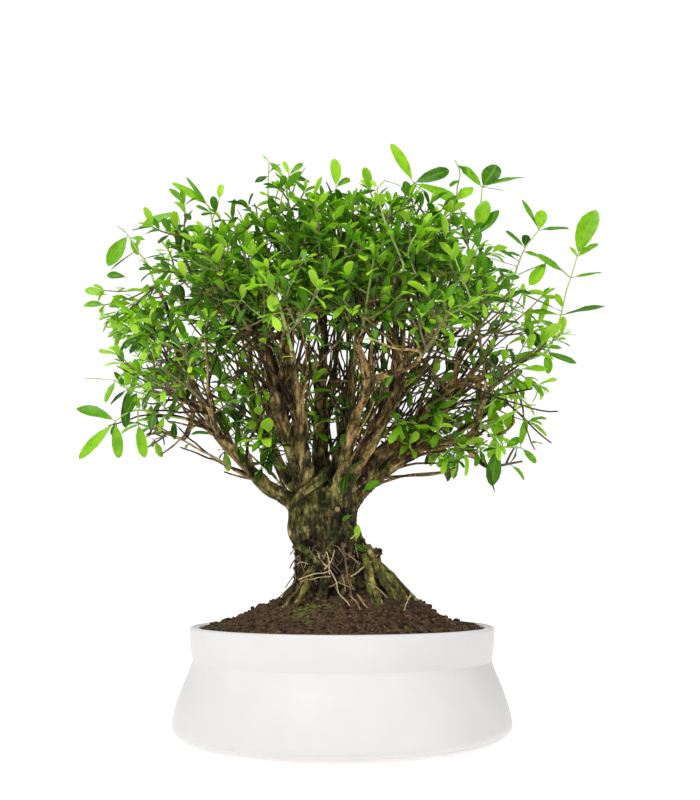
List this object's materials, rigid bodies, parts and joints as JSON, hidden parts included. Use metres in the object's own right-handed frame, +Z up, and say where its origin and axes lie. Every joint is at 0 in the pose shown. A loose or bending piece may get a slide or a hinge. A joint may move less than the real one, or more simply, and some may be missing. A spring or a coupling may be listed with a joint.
{
  "type": "potted serissa bonsai",
  "caption": "Serissa bonsai in a low round white ceramic pot: a gnarled trunk of fused stems, surface roots, fanning limbs and a rounded crown of small oval leaves.",
  "frame": {"origin": "centre of the pot's foot, on the surface it stands on, under the middle of the whole plant", "axes": "+Z up, the longest extent; -Y towards the side seen in the picture, Y being the shortest extent; +X to the right"},
  "size_m": [0.2991, 0.2067, 0.3269],
  "materials": {
    "ceramic": "matt white glaze",
    "net": "moulded plastic net",
    "soil": "moist crumbly potting soil",
    "bark": "rough grey-brown bark with moss",
    "leaf": "smooth glossy leaf"
  },
  "bodies": {
    "root": {"pot": "ceramic", "drain_mesh": "net", "soil": "soil", "trunk_roots_and_limbs": "bark", "leafy_spray_01": "leaf", "leafy_spray_02": "leaf", "leafy_spray_03": "leaf", "leafy_spray_04": "leaf", "leafy_spray_05": "leaf", "leafy_spray_06": "leaf", "leafy_spray_07": "leaf", "leafy_spray_08": "leaf", "leafy_spray_09": "leaf", "leafy_spray_10": "leaf", "leafy_spray_11": "leaf", "leafy_spray_12": "leaf", "leafy_spray_13": "leaf", "leafy_spray_14": "leaf", "leafy_spray_15": "leaf", "leafy_spray_16": "leaf", "leafy_spray_17": "leaf", "leafy_spray_18": "leaf", "leafy_spray_19": "leaf", "leafy_spray_20": "leaf", "leafy_spray_21": "leaf", "leafy_spray_22": "leaf", "leafy_spray_23": "leaf", "leafy_spray_24": "leaf", "leafy_spray_25": "leaf", "leafy_spray_26": "leaf", "leafy_spray_27": "leaf", "leafy_spray_28": "leaf", "leafy_spray_29": "leaf", "leafy_spray_30": "leaf", "leafy_spray_31": "leaf", "leafy_spray_32": "leaf", "leafy_spray_33": "leaf", "leafy_spray_34": "leaf", "leafy_spray_35": "leaf", "leafy_spray_36": "leaf", "long_shoot_01": "leaf", "long_shoot_02": "leaf", "long_shoot_03": "leaf", "long_shoot_04": "leaf", "long_shoot_05": "leaf", "long_shoot_06": "leaf", "long_shoot_07": "leaf", "long_shoot_08": "leaf", "long_shoot_09": "leaf", "long_shoot_10": "leaf", "long_shoot_11": "leaf", "long_shoot_12": "leaf"}
  },
  "joints": []
}
